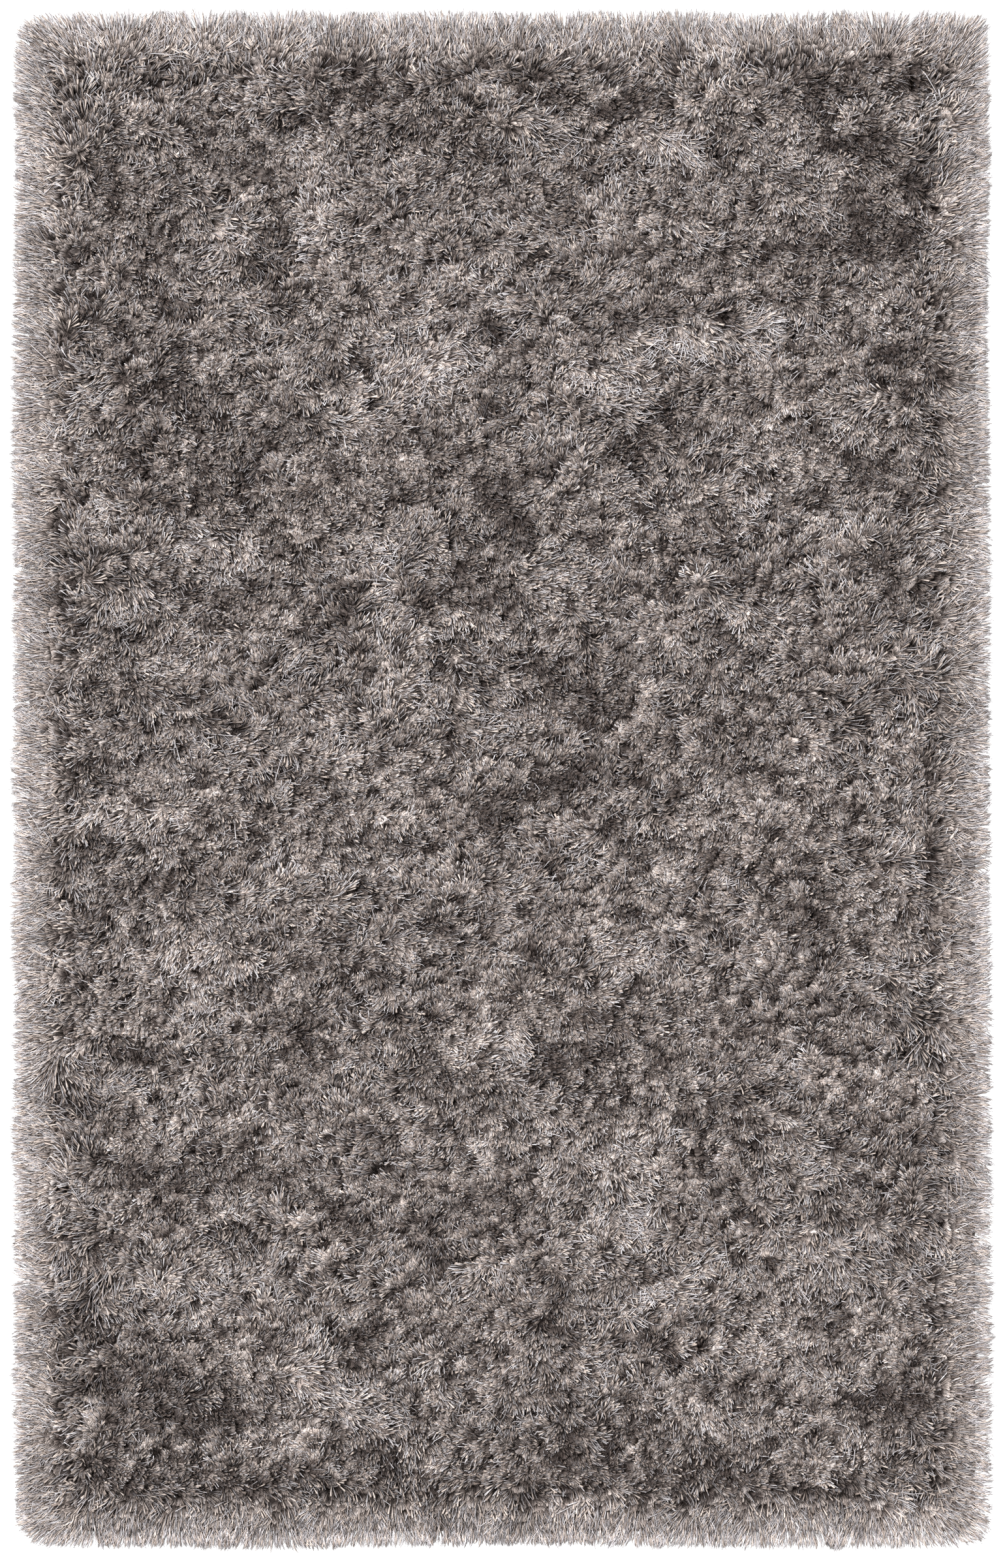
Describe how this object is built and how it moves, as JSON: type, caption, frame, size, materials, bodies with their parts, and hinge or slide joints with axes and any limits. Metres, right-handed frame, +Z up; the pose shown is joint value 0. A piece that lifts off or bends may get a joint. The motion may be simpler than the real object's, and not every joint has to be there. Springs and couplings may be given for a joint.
{
  "type": "shag rug",
  "caption": "Rectangular shag rug lying flat: a level backing under long, lumpy taupe pile that falls over the backing's edge in separate locks.",
  "frame": {"origin": "middle of the underside, on the floor", "axes": "+X across the width, +Y along the length towards the end at the top of the picture, +Z up from the floor through the pile"},
  "size_m": [1.6154, 2.528, 0.068],
  "materials": {
    "taupe_yarn": "long cut pile of mixed yarns: thick matt taupe ones and thin shiny silvery ones"
  },
  "bodies": {
    "root": {"shag_pile": "taupe_yarn"}
  },
  "joints": []
}
